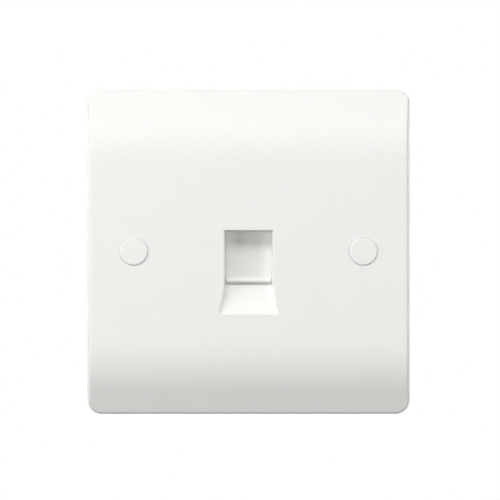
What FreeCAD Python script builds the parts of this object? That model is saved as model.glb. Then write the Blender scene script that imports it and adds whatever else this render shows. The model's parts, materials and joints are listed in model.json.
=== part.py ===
import FreeCAD, Part
import os
from math import cos, radians, sin, tan

# Single-gang ethernet wall socket: a crowned front plate with a shuttered
# window, and behind it a carrier, an eight-way jack and a terminal board.
# Millimetres. X to the viewer's right, Y from the face into the wall, Z up.
# The origin is the middle of the plate on the wall plane.

# Front plate
PLATE_WIDTH = 86.0
PLATE_HEIGHT = 86.7
PLATE_CORNER = 3.8
PLATE_DRAFT = 7.0
PLATE_DEPTH = 9.5
CROWN_FLAT = 24.0
CROWN_RADIUS = 28.3
CROWN_SLOPE = 26.0
EDGE_ROUND = 0.6
FACE_WALL = 2.4
SIDE_WALL = 2.0
INNER_CORNER = 3.0
RIB = 1.2
RIB_REAR_GAP = 2.5
RIB_CLEARANCE = 2.4

# Window and finger scoop
WINDOW_WIDTH = 13.0
WINDOW_TOP = 5.6
WINDOW_DRAFT = 3.4
WINDOW_DEPTH = 4.7
WINDOW_WALL = 1.6
RAMP_TOP = 8.7
RAMP_BOTTOM = 16.5
RAMP_STEP = 0.25
RAMP_SIDE = 0.45
FLARE_START = 7.0
FLARE_RADIUS = 24.0
FLARE_ANGLE = 10.5
OPENING_BREAK = 0.08

# Fixing screws, their wells and the caps over them
FIXING_SPACING = 60.3
FIXING_RADIUS = 1.75
FIXING_LENGTH = 25.0
FIXING_NECK_RADIUS = 1.55
FIXING_NECK_RUN = 0.3
FIXING_HEAD_RADIUS = 3.0
FIXING_HEAD_HEIGHT = 1.4
FIXING_SLOT = 1.0
FIXING_SLOT_DEPTH = 1.1
FIXING_CLEARANCE = 0.2
SEAT_CLEARANCE = 0.05
WELL_RADIUS = 3.3
WELL_WALL = 1.7
WELL_DEPTH = 4.9
WELL_FLOOR = 2.0
CAP_RADIUS = 3.67
CAP_GAP = 0.04
CAP_SINK = 0.8
CAP_PROUD = 0.4
CAP_ROUND = 0.4
CAP_ROUND_STEPS = 4
CAP_SKIRT = 2.4
CAP_SKIRT_WALL = 0.8
CAP_SLIT = 0.8

# Shutter
SHUTTER_THICKNESS = 1.4
SHUTTER_TRAVEL = 12.0
SHUTTER_LAP = 0.6
GROOVE_LAP = 0.8
RUNNING_GAP = 0.2
LIP_WIDTH = 12.0
LIP_HEIGHT = 1.15
LIP_REACH = 1.1
LIP_NOSE = 0.65
LIP_ROUND = 0.25
LIP_ABOVE_RAMP = 0.55
SHELF_WIDTH = 6.0
SHELF_HEIGHT = 1.4
SHELF_GAP = 0.3

# Return spring
SPRING_RADIUS = 1.6
SPRING_WIRE = 0.25
SPRING_COILS = 7
SPRING_SPARE = 3.25
SPRING_PEG = 1.1
SPRING_PEG_GAP = 1.0

# Carrier
CARRIER_WALL = 1.6
CARRIER_CORNER = 2.5
CARRIER_MARGIN = 4.0
RAIL_WALL = 1.5
RAIL_FLANGE = 1.4
RAIL_FLANGE_TOP = 12.0
JACK_CLEARANCE = 0.1
COLLAR_DEPTH = 4.5
COLLAR_WALL = 1.4
ARM_WALL = 1.4
ARM_WIDTH = 8.0
ARM_HOOK = 0.9
ARM_HOOK_LENGTH = 2.0
ARM_ROOT = 1.0

# Carrier screws
CARRIER_SCREW_Z = 11.0
CARRIER_SCREW_RADIUS = 1.1
CARRIER_SCREW_LENGTH = 5.0
CARRIER_HEAD_RADIUS = 2.0
CARRIER_HEAD_HEIGHT = 1.5
CARRIER_CROSS = 0.5
CARRIER_CROSS_DEPTH = 0.8
BOSS_WALL = 1.5
THREAD_CLEARANCE = 0.02

# Jack: an eight-way socket that stands on the board, its mouth to the window
JACK_WIDTH = 15.8
JACK_HEIGHT = 13.0
JACK_MIDDLE = -1.8
JACK_SHOULDER = 0.6
JACK_BODY = 12.2
CAVITY_WIDTH = 11.9
CAVITY_HEIGHT = 7.0
CAVITY_TOP = 1.95
CAVITY_DEPTH = 11.7
MOUTH_CHAMFER = 0.4
LATCH_WIDTH = 6.3
LATCH_DEPTH = 1.25
LATCH_ARM_WIDTH = 4.0
LATCH_ARM_DEPTH = 1.4
LATCH_WALL = 1.7
LATCH_POCKET = 5.0
COMB_WALL = 2.0
COMB_HEIGHT = 2.0
COMB_SLOT = 0.62
JACK_PEG = 1.5
JACK_PEG_X = 2.9
JACK_PEG_Z = -5.2
JACK_PEG_RISE = 1.0
INSERT_WIDTH = 10.4
INSERT_HEIGHT = 5.2
INSERT_GROOVE = 0.9

# Contacts
CONTACTS = 8
CONTACT_PITCH = 1.02
CONTACT_WIDTH = 0.45
CONTACT_THICKNESS = 0.3
CONTACT_BEND = 0.55
CONTACT_FALL = 24.0
CONTACT_TIP = 5.8
CONTACT_ROOF = 0.35
TAIL_STAGGER = 2.54
TAIL_RISE = 1.0
SOLDER_GAP = 0.05

# Circuit board
BOARD_MARGIN = 1.0
BOARD_HEIGHT = 26.0
BOARD_THICKNESS = 1.6
BOARD_CORNER = 1.0
BOARD_CLEARANCE = 0.1
DRIVER_CLEARANCE = 0.3

# Punch-down terminal blocks
IDC_CLEARANCE = 0.9
IDC_WAYS = 4
IDC_PITCH = 4.0
IDC_WIDTH = 7.2
IDC_DEPTH = 9.5
IDC_END_WALL = 0.8
IDC_WIRE_SLOT = 1.1
IDC_WIRE_DEPTH = 6.4
IDC_LEAD_IN = 0.7
IDC_BLADE = 0.4
IDC_BLADE_WIDTH = 2.6
IDC_BLADE_LENGTH = 7.4
IDC_BLADE_BELOW = 0.7
IDC_FORK = 0.3
IDC_FORK_DEPTH = 4.6
IDC_FORK_MOUTH = 0.5
IDC_PIN = 0.6
IDC_PIN_RISE = 0.9
IDC_POCKET_GAP = 0.1

# How far a cut runs past the surface that it opens
MARGIN = 1.0

# Depths worked out from the sizes above, from the face back
FACE_Y = -PLATE_DEPTH
WINDOW_BACK = FACE_Y + WINDOW_DEPTH
SHUTTER_FRONT = WINDOW_BACK + RUNNING_GAP
SHUTTER_BACK = SHUTTER_FRONT + SHUTTER_THICKNESS
CARRIER_FRONT = SHUTTER_BACK + RUNNING_GAP
CARRIER_BACK = CARRIER_FRONT + CARRIER_WALL
JACK_FRONT = CARRIER_FRONT + JACK_CLEARANCE
BOARD_FRONT = CARRIER_BACK + JACK_BODY
BOARD_BACK = BOARD_FRONT + BOARD_THICKNESS
CAVITY_BACK = JACK_FRONT + CAVITY_DEPTH
WELL_SEAT = FACE_Y + WELL_DEPTH
IDC_BACK = BOARD_BACK + IDC_DEPTH

# Heights and half widths worked out the same way
WINDOW_HALF = WINDOW_WIDTH / 2
WINDOW_INSET = WINDOW_DEPTH * tan(radians(WINDOW_DRAFT))
SHUTTER_BOTTOM = -RAMP_TOP - SHUTTER_LAP
SHELF_BOTTOM = WINDOW_TOP + WINDOW_WALL + SHELF_GAP
SHUTTER_TOP = SHELF_BOTTOM + SHELF_HEIGHT
SPRING_SOLID = SPRING_COILS * SPRING_WIRE
SPRING_LENGTH = SHUTTER_TRAVEL + SPRING_SOLID + SPRING_SPARE
SPRING_PEG_LENGTH = (SPRING_SOLID + SPRING_SPARE - SPRING_PEG_GAP) / 2
SPRING_ROOF = SHUTTER_TOP + SPRING_LENGTH
SPRING_OUTER = SPRING_RADIUS + SPRING_WIRE / 2
SPRING_Y = CARRIER_FRONT - RUNNING_GAP - SPRING_OUTER
SHELF_FRONT = SPRING_Y - SPRING_OUTER
FLANGE_HALF = WINDOW_HALF + WINDOW_WALL + RUNNING_GAP / 2
SHUTTER_HALF = FLANGE_HALF + GROOVE_LAP
RAIL_INNER = SHUTTER_HALF + RUNNING_GAP
RAIL_OUTER = RAIL_INNER + RAIL_WALL
LEDGE_TOP = SHUTTER_BOTTOM - RUNNING_GAP
FLOOR_Z = LEDGE_TOP - CARRIER_WALL
CARRIER_TOP = SPRING_ROOF + CARRIER_WALL
CARRIER_BOTTOM = -CARRIER_SCREW_Z - CARRIER_MARGIN
CARRIER_SHOULDER = CARRIER_SCREW_Z + CARRIER_MARGIN
JACK_TOP = JACK_MIDDLE + JACK_HEIGHT / 2
JACK_BOTTOM = JACK_MIDDLE - JACK_HEIGHT / 2
CAVITY_HALF = CAVITY_WIDTH / 2
CAVITY_FLOOR = CAVITY_TOP - CAVITY_HEIGHT
COMB_TOP = CAVITY_TOP + COMB_HEIGHT
CONTACT_Z = COMB_TOP - CONTACT_ROOF - CONTACT_THICKNESS / 2
INSERT_TOP = COMB_TOP
INSERT_BOTTOM = INSERT_TOP - INSERT_HEIGHT
IDC_HALF_LENGTH = IDC_WAYS * IDC_PITCH / 2 + IDC_END_WALL
IDC_X = JACK_WIDTH / 2 + JACK_SHOULDER + IDC_CLEARANCE + IDC_BLADE / 2
BOARD_WIDTH = 2 * (IDC_X + IDC_WIDTH / 2 + BOARD_MARGIN)
CARRIER_SCREW_X = BOARD_WIDTH / 2 + DRIVER_CLEARANCE + CARRIER_HEAD_RADIUS
CARRIER_WIDTH = 2 * (CARRIER_SCREW_X + CARRIER_MARGIN)

CONTACT_XS = [(n - (CONTACTS - 1) / 2) * CONTACT_PITCH for n in range(CONTACTS)]
IDC_ZS = [((IDC_WAYS - 1) / 2 - n) * IDC_PITCH for n in range(IDC_WAYS)]
FIXING_XS = [-FIXING_SPACING / 2, FIXING_SPACING / 2]
CARRIER_SCREWS = [(-CARRIER_SCREW_X, CARRIER_SCREW_Z), (CARRIER_SCREW_X, -CARRIER_SCREW_Z)]

V = FreeCAD.Vector
MITRED = 2


# Shapes used by several pieces

def block(x_low, x_high, y_low, y_high, z_low, z_high):
    return Part.makeBox(x_high - x_low, y_high - y_low, z_high - z_low, V(x_low, y_low, z_low))


def centred_block(half_width, y_low, y_high, z_low, z_high):
    return block(-half_width, half_width, y_low, y_high, z_low, z_high)


def rod(radius, x, z, y_low, y_high):
    return Part.makeCylinder(radius, y_high - y_low, V(x, y_low, z), V(0, 1, 0))


def upright_rod(radius, x, y, z_low, z_high):
    return Part.makeCylinder(radius, z_high - z_low, V(x, y, z_low))


def side_profile(points, x_low, x_high):
    """A side view drawn as (y, z) points, drawn out from x_low to x_high."""
    corners = [V(x_low, y, z) for y, z in points]
    return Part.Face(Part.makePolygon(corners + corners[:1])).extrude(V(x_high - x_low, 0, 0))


def rectangle(half_width, z_low, z_high, y):
    corners = [
        V(-half_width, y, z_low),
        V(half_width, y, z_low),
        V(half_width, y, z_high),
        V(-half_width, y, z_high),
    ]
    return Part.makePolygon(corners + corners[:1])


def rounded_outline(half_width, half_height, radius, y):
    """A closed outline with round corners, in the plane y."""
    arcs = []
    for quarter in range(4):
        turn = radians(90 * quarter)
        side_x = 1 if cos(turn + radians(45)) > 0 else -1
        side_z = 1 if sin(turn + radians(45)) > 0 else -1
        centre = V(side_x * (half_width - radius), y, side_z * (half_height - radius))
        stops = [turn + radians(step) for step in (0, 45, 90)]
        points = [centre + V(cos(stop), 0, sin(stop)) * radius for stop in stops]
        arcs.append(Part.Arc(*points))
    edges = []
    for arc, following in zip(arcs, arcs[1:] + arcs[:1]):
        edges.append(arc.toShape())
        edges.append(Part.LineSegment(arc.EndPoint, following.StartPoint).toShape())
    return Part.Wire(edges)


def rounded_slab(half_width, z_low, z_high, radius, y_low, y_high):
    """A flat piece with round corners, facing along Y."""
    middle = (z_low + z_high) / 2
    outline = rounded_outline(half_width, (z_high - z_low) / 2, radius, y_low)
    outline.translate(V(0, 0, middle))
    return Part.Face(outline).extrude(V(0, y_high - y_low, 0))


def join(first, others):
    return first.fuse(others).removeSplitter()


def round_edges(shape, radius, wanted):
    """Rounds the edges for which wanted(edge) is true."""
    return shape.makeFillet(radius, [edge for edge in shape.Edges if wanted(edge)])


# Front plate

def drafted_block(inset, y_back, corner):
    """The plate's drafted sides, taken in by inset, from y_back to past the face."""
    outlines = []
    for y in (y_back, FACE_Y - MARGIN):
        taper = y * tan(radians(PLATE_DRAFT))
        half_width = PLATE_WIDTH / 2 + taper - inset
        half_height = PLATE_HEIGHT / 2 + taper - inset
        outlines.append(rounded_outline(half_width, half_height, corner + taper, y))
    return Part.makeLoft(outlines, True, True)


def crown_point(radius, angle, side):
    return V(
        -PLATE_WIDTH,
        FACE_Y + CROWN_RADIUS - radius * cos(angle),
        side * (CROWN_FLAT + radius * sin(angle)),
    )


def crown_block(offset):
    """All that lies behind the crowned face, offset inwards."""
    radius = CROWN_RADIUS - offset
    tilt = radians(CROWN_SLOPE)
    run = V(0, sin(tilt), cos(tilt)) * (PLATE_HEIGHT / 4)
    top_bend = crown_point(radius, tilt, 1)
    low_bend = crown_point(radius, tilt, -1)
    top_end = top_bend + run
    low_end = V(low_bend.x, top_end.y, -top_end.z)
    top_back = V(top_end.x, PLATE_DEPTH, top_end.z)
    low_back = V(low_end.x, PLATE_DEPTH, low_end.z)
    top_flat = crown_point(radius, 0, 1)
    low_flat = crown_point(radius, 0, -1)
    edges = [
        Part.LineSegment(low_flat, top_flat),
        Part.Arc(top_flat, crown_point(radius, tilt / 2, 1), top_bend),
        Part.LineSegment(top_bend, top_end),
        Part.LineSegment(top_end, top_back),
        Part.LineSegment(top_back, low_back),
        Part.LineSegment(low_back, low_end),
        Part.LineSegment(low_end, low_bend),
        Part.Arc(low_bend, crown_point(radius, tilt / 2, -1), low_flat),
    ]
    outline = Part.Wire([edge.toShape() for edge in edges])
    return Part.Face(outline).extrude(V(2 * PLATE_WIDTH, 0, 0))


def faces_sideways(face):
    low_u, high_u, low_v, high_v = face.ParameterRange
    normal = face.normalAt((low_u + high_u) / 2, (low_v + high_v) / 2)
    return abs(normal.y) < sin(radians(PLATE_DRAFT + CROWN_SLOPE))


def plate_outside():
    """The drafted block under the crowned face, its front edge rounded."""
    body = drafted_block(0, 0, PLATE_CORNER).common(crown_block(0))

    def front_edge(edge):
        meeting = body.ancestorsOfType(edge, Part.Face)
        return sorted(faces_sideways(face) for face in meeting) == [False, True] and (
            edge.BoundBox.YMax < -MARGIN
        )

    return round_edges(body, EDGE_ROUND, front_edge)


def plate_inside(face_offset, side_offset):
    """The hollow behind the face, open at the wall."""
    return drafted_block(side_offset, MARGIN, INNER_CORNER).common(crown_block(face_offset))


def window_throat(grow):
    """The window's straight part, grown outwards for its wall."""
    front = rectangle(WINDOW_HALF + grow, -RAMP_TOP, WINDOW_TOP + grow, FACE_Y)
    back_half = WINDOW_HALF - WINDOW_INSET + grow
    back = rectangle(back_half, -RAMP_TOP, WINDOW_TOP - WINDOW_INSET + grow, WINDOW_BACK)
    return Part.makeLoft([front, back], True, True)


def flare_point(side, angle, grow, y):
    """A point on the flare's arc, which leaves the window's side upright."""
    reach = WINDOW_HALF + grow + FLARE_RADIUS * (1 - cos(angle))
    return V(side * reach, y, -FLARE_START - FLARE_RADIUS * sin(angle))


def flare_foot(side, grow, y):
    """Where the flare's straight part ends, at the foot of the ramp."""
    bend = radians(FLARE_ANGLE)
    knee = flare_point(side, bend, grow, y)
    low_z = -RAMP_BOTTOM - grow
    return V(knee.x + side * (knee.z - low_z) * tan(bend), y, low_z)


def opening_outline(grow, y, top_z):
    """The flared sides and foot of the opening, closed across at top_z."""
    bend = radians(FLARE_ANGLE)

    def flare(side, angle):
        return flare_point(side, angle, grow, y)

    edges = [
        Part.Arc(flare(1, 0), flare(1, bend / 2), flare(1, bend)),
        Part.LineSegment(flare(1, bend), flare_foot(1, grow, y)),
        Part.LineSegment(flare_foot(1, grow, y), flare_foot(-1, grow, y)),
        Part.LineSegment(flare_foot(-1, grow, y), flare(-1, bend)),
        Part.Arc(flare(-1, bend), flare(-1, bend / 2), flare(-1, 0)),
    ]
    right = flare(1, 0)
    if top_z > right.z:
        right_top = V(right.x, y, top_z)
        left_top = V(-right.x, y, top_z)
        edges.append(Part.LineSegment(flare(-1, 0), left_top))
        edges.append(Part.LineSegment(left_top, right_top))
        edges.append(Part.LineSegment(right_top, right))
    else:
        edges.append(Part.LineSegment(flare(-1, 0), right))
    return Part.Wire([edge.toShape() for edge in edges])


def ramp_outline(grow):
    """The ramp's own edge, from the foot of the window up to the face."""
    top = V(WINDOW_HALF - WINDOW_INSET, WINDOW_BACK, -RAMP_TOP)
    foot_half = flare_foot(1, 0, FACE_Y).x - RAMP_SIDE
    foot = V(foot_half, FACE_Y + RAMP_STEP, -RAMP_BOTTOM)
    inward = V(0, top.z - foot.z, foot.y - top.y).normalize() * grow
    top = top + inward + V(grow, 0, 0)
    foot = foot + inward + V(grow, 0, 0)
    share = FLARE_RADIUS * sin(radians(FLARE_ANGLE)) / (RAMP_BOTTOM - FLARE_START)
    knee = top + (foot - top) * share
    right = [top, knee, foot]
    left = [V(-point.x, point.y, point.z) for point in reversed(right)]
    return Part.makePolygon(right + left + [top])


def scoop(grow):
    """The finger scoop under the window, grown outwards for its wall."""
    face_outline = opening_outline(grow, FACE_Y, -FLARE_START)
    return Part.makeLoft([face_outline, ramp_outline(grow)], True, True)


def opening_break():
    """A small bevel round the whole opening at the face."""
    outlines = [
        opening_outline(OPENING_BREAK, FACE_Y, WINDOW_TOP + OPENING_BREAK),
        opening_outline(0, FACE_Y + OPENING_BREAK, WINDOW_TOP),
    ]
    return Part.makeLoft(outlines, True, True)


def window_surround():
    """The wall round the window and under the ramp, behind the face."""
    grown = window_throat(WINDOW_WALL).fuse(scoop(WINDOW_WALL))
    reach = PLATE_WIDTH / 2
    return grown.common(
        centred_block(reach, FACE_Y + FACE_WALL / 2, WINDOW_BACK, -reach, reach)
    )


def well_block(x):
    return rod(WELL_RADIUS + WELL_WALL, x, 0, FACE_Y + FACE_WALL / 2, WELL_SEAT + WELL_FLOOR)


def well_cut(x):
    """Cap recess, screw well and clearance hole in one tool."""
    recess = rod(CAP_RADIUS + CAP_GAP, x, 0, FACE_Y, FACE_Y + CAP_SINK)
    well = rod(WELL_RADIUS, x, 0, FACE_Y, WELL_SEAT)
    through = rod(FIXING_RADIUS + FIXING_CLEARANCE, x, 0, WELL_SEAT, MARGIN)
    return recess.fuse([well, through])


def plate_ribs():
    """Upright ribs beside the carrier, and a rib from each well to the side."""
    rear = -RIB_REAR_GAP
    reach = PLATE_HEIGHT / 2
    rib_x = CARRIER_WIDTH / 2 + RIB_CLEARANCE
    ribs = []
    for side in (-1, 1):
        x = side * rib_x
        ribs.append(block(x - RIB / 2, x + RIB / 2, FACE_Y, rear, -reach, reach))
        far = side * PLATE_WIDTH / 2
        near = side * FIXING_SPACING / 2
        ribs.append(block(min(near, far), max(near, far), FACE_Y, rear, -RIB / 2, RIB / 2))
    limits = plate_inside(FACE_WALL / 2, SIDE_WALL / 2)
    return [rib.common(limits) for rib in ribs]


def screw_bosses():
    radius = CARRIER_SCREW_RADIUS + BOSS_WALL
    return [rod(radius, x, z, FACE_Y + FACE_WALL / 2, CARRIER_FRONT) for x, z in CARRIER_SCREWS]


def boss_cut(x, z):
    depth = CARRIER_BACK - CARRIER_SCREW_LENGTH - THREAD_CLEARANCE
    return rod(CARRIER_SCREW_RADIUS + THREAD_CLEARANCE, x, z, depth, CARRIER_FRONT + MARGIN)


def faceplate():
    shell = plate_outside().cut(plate_inside(FACE_WALL, SIDE_WALL))
    added = [window_surround()] + [well_block(x) for x in FIXING_XS]
    body = shell.fuse(added + plate_ribs() + screw_bosses())
    cuts = [window_throat(0), scoop(0), opening_break()] + [well_cut(x) for x in FIXING_XS]
    cuts += [boss_cut(x, z) for x, z in CARRIER_SCREWS]
    return body.cut(cuts).removeSplitter()


# Caps and fixing screws

def cap_button(x, front, back):
    """A disc whose front edge is rounded in short straight steps."""
    profile = [V(x, front, 0), V(x, back, 0), V(x + CAP_RADIUS, back, 0)]
    centre = V(x + CAP_RADIUS - CAP_ROUND, front + CAP_ROUND, 0)
    for step in range(CAP_ROUND_STEPS + 1):
        turn = radians(90 * step / CAP_ROUND_STEPS)
        profile.append(centre + V(cos(turn), -sin(turn), 0) * CAP_ROUND)
    outline = Part.makePolygon(profile + profile[:1])
    return Part.Face(outline).revolve(V(x, 0, 0), V(0, 1, 0), 360)


def screw_cap(x):
    """A round button with a slit skirt that springs into the well."""
    back = FACE_Y + CAP_SINK
    button = cap_button(x, FACE_Y - CAP_PROUD, back)
    outer = WELL_RADIUS - SEAT_CLEARANCE
    tip = back + CAP_SKIRT
    skirt = rod(outer, x, 0, back, tip).cut(rod(outer - CAP_SKIRT_WALL, x, 0, back, tip))
    slits = [
        block(x - CAP_SLIT / 2, x + CAP_SLIT / 2, back, tip, -outer, outer),
        block(x - outer, x + outer, back, tip, -CAP_SLIT / 2, CAP_SLIT / 2),
    ]
    return join(button, [skirt.cut(slits)])


def fixing_screw(x):
    """A slotted cheese-head machine screw. Its thread stops at a neck under the head."""
    head = FIXING_HEAD_RADIUS
    top = WELL_SEAT - FIXING_HEAD_HEIGHT
    thread = WELL_SEAT + WELL_FLOOR + FIXING_NECK_RUN
    neck = rod(FIXING_NECK_RADIUS, x, 0, WELL_SEAT, thread)
    shank = rod(FIXING_RADIUS, x, 0, thread, WELL_SEAT + FIXING_LENGTH)
    screw = join(rod(head, x, 0, top, WELL_SEAT), [neck, shank])
    return screw.cut(
        block(x - FIXING_SLOT / 2, x + FIXING_SLOT / 2, top, top + FIXING_SLOT_DEPTH, -head, head)
    )


# Shutter and its spring

def finger_lip():
    """A ledge with a sloping top and a rounded nose, for lifting the shutter."""
    low = -RAMP_TOP + LIP_ABOVE_RAMP
    points = [
        (SHUTTER_FRONT, low),
        (SHUTTER_FRONT - LIP_REACH, low),
        (SHUTTER_FRONT - LIP_REACH, low + LIP_NOSE),
        (SHUTTER_FRONT, low + LIP_HEIGHT),
    ]
    lip = side_profile(points, -LIP_WIDTH / 2, LIP_WIDTH / 2)
    nose = SHUTTER_FRONT - LIP_REACH

    def nose_edge(edge):
        return edge.BoundBox.YMax < nose + LIP_ROUND

    return round_edges(lip, LIP_ROUND, nose_edge)


def shutter():
    plate = centred_block(SHUTTER_HALF, SHUTTER_FRONT, SHUTTER_BACK, SHUTTER_BOTTOM, SHUTTER_TOP)
    shelf = centred_block(SHELF_WIDTH / 2, SHELF_FRONT, SHUTTER_FRONT, SHELF_BOTTOM, SHUTTER_TOP)
    peg = upright_rod(SPRING_PEG, 0, SPRING_Y, SHUTTER_TOP, SHUTTER_TOP + SPRING_PEG_LENGTH)
    return join(plate, [finger_lip(), shelf, peg])


def shutter_spring():
    """A wire wound between the shutter's shelf and the carrier's roof, drawn four-sided."""
    low = SHUTTER_TOP + SPRING_WIRE / 2
    height = SPRING_LENGTH - SPRING_WIRE
    helix = Part.makeHelix(height / (SPRING_COILS - 1), height, SPRING_RADIUS)
    helix.translate(V(0, SPRING_Y, low))
    edge = helix.Edges[0]
    start = edge.valueAt(edge.FirstParameter)
    outward = V(1, 0, 0)
    across = edge.tangentAt(edge.FirstParameter).cross(outward).normalize()
    corners = [start + way * (SPRING_WIRE / 2) for way in (outward, across, -outward, -across)]
    section = Part.makePolygon(corners + corners[:1])
    return Part.Wire(helix.Edges).makePipeShell([section], True, True)


# Carrier and its screws

def carrier_base():
    """The flat back of the carrier, with a column up to the spring's roof."""
    lower = rounded_slab(
        CARRIER_WIDTH / 2, CARRIER_BOTTOM, CARRIER_SHOULDER, CARRIER_CORNER, CARRIER_FRONT, CARRIER_BACK
    )
    column = centred_block(RAIL_OUTER, CARRIER_FRONT, CARRIER_BACK, 0, CARRIER_TOP)
    return lower.fuse(column)


def carrier_rail(side):
    """One side of the shutter's guide: a web and the flange that holds it back."""
    front = WINDOW_BACK - RAIL_FLANGE
    inner = side * RAIL_INNER
    outer = side * RAIL_OUTER
    lip = side * FLANGE_HALF
    web = block(min(inner, outer), max(inner, outer), front, CARRIER_FRONT, FLOOR_Z, CARRIER_TOP)
    flange = block(min(lip, inner), max(lip, inner), front, WINDOW_BACK, FLOOR_Z, RAIL_FLANGE_TOP)
    return [web, flange]


def spring_roof():
    roof = centred_block(RAIL_OUTER, SHELF_FRONT, CARRIER_FRONT, SPRING_ROOF, CARRIER_TOP)
    peg = upright_rod(SPRING_PEG, 0, SPRING_Y, SPRING_ROOF - SPRING_PEG_LENGTH, SPRING_ROOF)
    return [roof, peg]


def jack_collar():
    """Walls round the jack behind the carrier's base."""
    grow = JACK_SHOULDER + JACK_CLEARANCE
    wide = JACK_WIDTH / 2 + grow
    back = CARRIER_BACK + COLLAR_DEPTH
    outer = centred_block(
        wide + COLLAR_WALL,
        CARRIER_BACK,
        back,
        JACK_BOTTOM - grow - COLLAR_WALL,
        JACK_TOP + grow + COLLAR_WALL,
    )
    return outer.cut(centred_block(wide, CARRIER_BACK, back, JACK_BOTTOM - grow, JACK_TOP + grow))


def snap_arm(side):
    """A springy arm with a hook that holds the board's edge from behind."""
    inner = BOARD_WIDTH / 2 + BOARD_CLEARANCE
    hook_back = BOARD_BACK + BOARD_CLEARANCE
    points = [
        (inner + ARM_WALL + ARM_ROOT, CARRIER_BACK),
        (inner + ARM_WALL, CARRIER_BACK + ARM_ROOT),
        (inner + ARM_WALL, hook_back + ARM_HOOK_LENGTH),
        (inner, hook_back + ARM_HOOK_LENGTH),
        (inner - ARM_HOOK, hook_back + ARM_HOOK),
        (inner - ARM_HOOK, hook_back),
        (inner, hook_back),
        (inner, CARRIER_BACK),
    ]
    corners = [V(side * x, y, -ARM_WIDTH / 2) for x, y in points]
    outline = Part.makePolygon(corners + corners[:1])
    return Part.Face(outline).extrude(V(0, 0, ARM_WIDTH))


def jack_carrier():
    ledge = centred_block(RAIL_OUTER, WINDOW_BACK + RUNNING_GAP, CARRIER_FRONT, FLOOR_Z, LEDGE_TOP)
    pieces = [ledge, jack_collar(), snap_arm(-1), snap_arm(1)]
    pieces += carrier_rail(-1) + carrier_rail(1) + spring_roof()
    body = join(carrier_base(), pieces)
    nose = centred_block(
        JACK_WIDTH / 2 + JACK_CLEARANCE,
        CARRIER_FRONT - MARGIN,
        CARRIER_BACK,
        JACK_BOTTOM - JACK_CLEARANCE,
        JACK_TOP + JACK_CLEARANCE,
    )
    hole = CARRIER_SCREW_RADIUS + SEAT_CLEARANCE
    holes = [rod(hole, x, z, CARRIER_FRONT, CARRIER_BACK) for x, z in CARRIER_SCREWS]
    return body.cut([nose] + holes).removeSplitter()


def carrier_screw(x, z):
    """A small blunt tapping screw with a cross recess, driven from behind."""
    top = CARRIER_BACK + CARRIER_HEAD_HEIGHT
    head = rod(CARRIER_HEAD_RADIUS, x, z, CARRIER_BACK, top)
    shank = rod(CARRIER_SCREW_RADIUS, x, z, CARRIER_BACK - CARRIER_SCREW_LENGTH, CARRIER_BACK)
    arm = CARRIER_HEAD_RADIUS / 2
    half = CARRIER_CROSS / 2
    floor = top - CARRIER_CROSS_DEPTH
    cross = [
        block(x - arm, x + arm, floor, top, z - half, z + half),
        block(x - half, x + half, floor, top, z - arm, z + arm),
    ]
    return join(head, [shank]).cut(cross)


# Jack

def cavity_cut():
    """The plug's own space: body, mouth chamfer and the latch's stepped keyway."""
    y_low = JACK_FRONT
    body = centred_block(CAVITY_HALF, y_low, CAVITY_BACK, CAVITY_FLOOR, CAVITY_TOP)
    mouth = Part.makeLoft(
        [
            rectangle(
                CAVITY_HALF + MOUTH_CHAMFER, CAVITY_FLOOR, CAVITY_TOP + MOUTH_CHAMFER, y_low
            ),
            rectangle(CAVITY_HALF, CAVITY_FLOOR, CAVITY_TOP, y_low + MOUTH_CHAMFER),
        ],
        True,
        True,
    )
    shoulder = CAVITY_FLOOR - LATCH_DEPTH
    bottom = shoulder - LATCH_ARM_DEPTH
    latch = centred_block(LATCH_WIDTH / 2, y_low, CAVITY_BACK, shoulder, CAVITY_FLOOR)
    arm = centred_block(LATCH_ARM_WIDTH / 2, y_low, y_low + LATCH_WALL, bottom, shoulder)
    pocket = centred_block(
        LATCH_WIDTH / 2, y_low + LATCH_WALL, y_low + LATCH_WALL + LATCH_POCKET, bottom, shoulder
    )
    return [body, mouth, latch, arm, pocket]


def comb_cut():
    """One slot for each contact, in the roof of the cavity."""
    front = JACK_FRONT + COMB_WALL
    return [
        block(x - COMB_SLOT / 2, x + COMB_SLOT / 2, front, CAVITY_BACK, CAVITY_TOP, COMB_TOP)
        for x in CONTACT_XS
    ]


def insert_seat(clearance):
    return centred_block(
        INSERT_WIDTH / 2 + clearance,
        CAVITY_BACK,
        BOARD_FRONT,
        INSERT_BOTTOM - clearance,
        INSERT_TOP + clearance,
    )


def jack_housing():
    nose = centred_block(JACK_WIDTH / 2, JACK_FRONT, CARRIER_BACK, JACK_BOTTOM, JACK_TOP)
    body = centred_block(
        JACK_WIDTH / 2 + JACK_SHOULDER,
        CARRIER_BACK,
        BOARD_FRONT,
        JACK_BOTTOM - JACK_SHOULDER,
        JACK_TOP + JACK_SHOULDER,
    )
    pegs = [
        rod(JACK_PEG, x, JACK_PEG_Z, BOARD_FRONT, BOARD_BACK + JACK_PEG_RISE)
        for x in (-JACK_PEG_X, JACK_PEG_X)
    ]
    cuts = cavity_cut() + comb_cut() + [insert_seat(SEAT_CLEARANCE)]
    return join(nose, [body] + pegs).cut(cuts).removeSplitter()


def tail_z(number):
    """Every second contact comes through the board in a lower row."""
    return CONTACT_Z - TAIL_STAGGER * (number % 2)


def contact_insert():
    """The block that closes the jack's back and holds the contacts in line."""
    body = insert_seat(0)
    wide = CONTACT_WIDTH / 2 + SEAT_CLEARANCE
    thick = CONTACT_THICKNESS / 2 + SEAT_CLEARANCE
    cuts = []
    for number, x in enumerate(CONTACT_XS):
        cuts.append(
            block(x - wide, x + wide, CAVITY_BACK, BOARD_FRONT, CONTACT_Z - thick, CONTACT_Z + thick)
        )
        low = tail_z(number) - thick
        cuts.append(
            block(x - wide, x + wide, BOARD_FRONT - INSERT_GROOVE, BOARD_FRONT, low, CONTACT_Z)
        )
    return body.cut(cuts)


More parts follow.
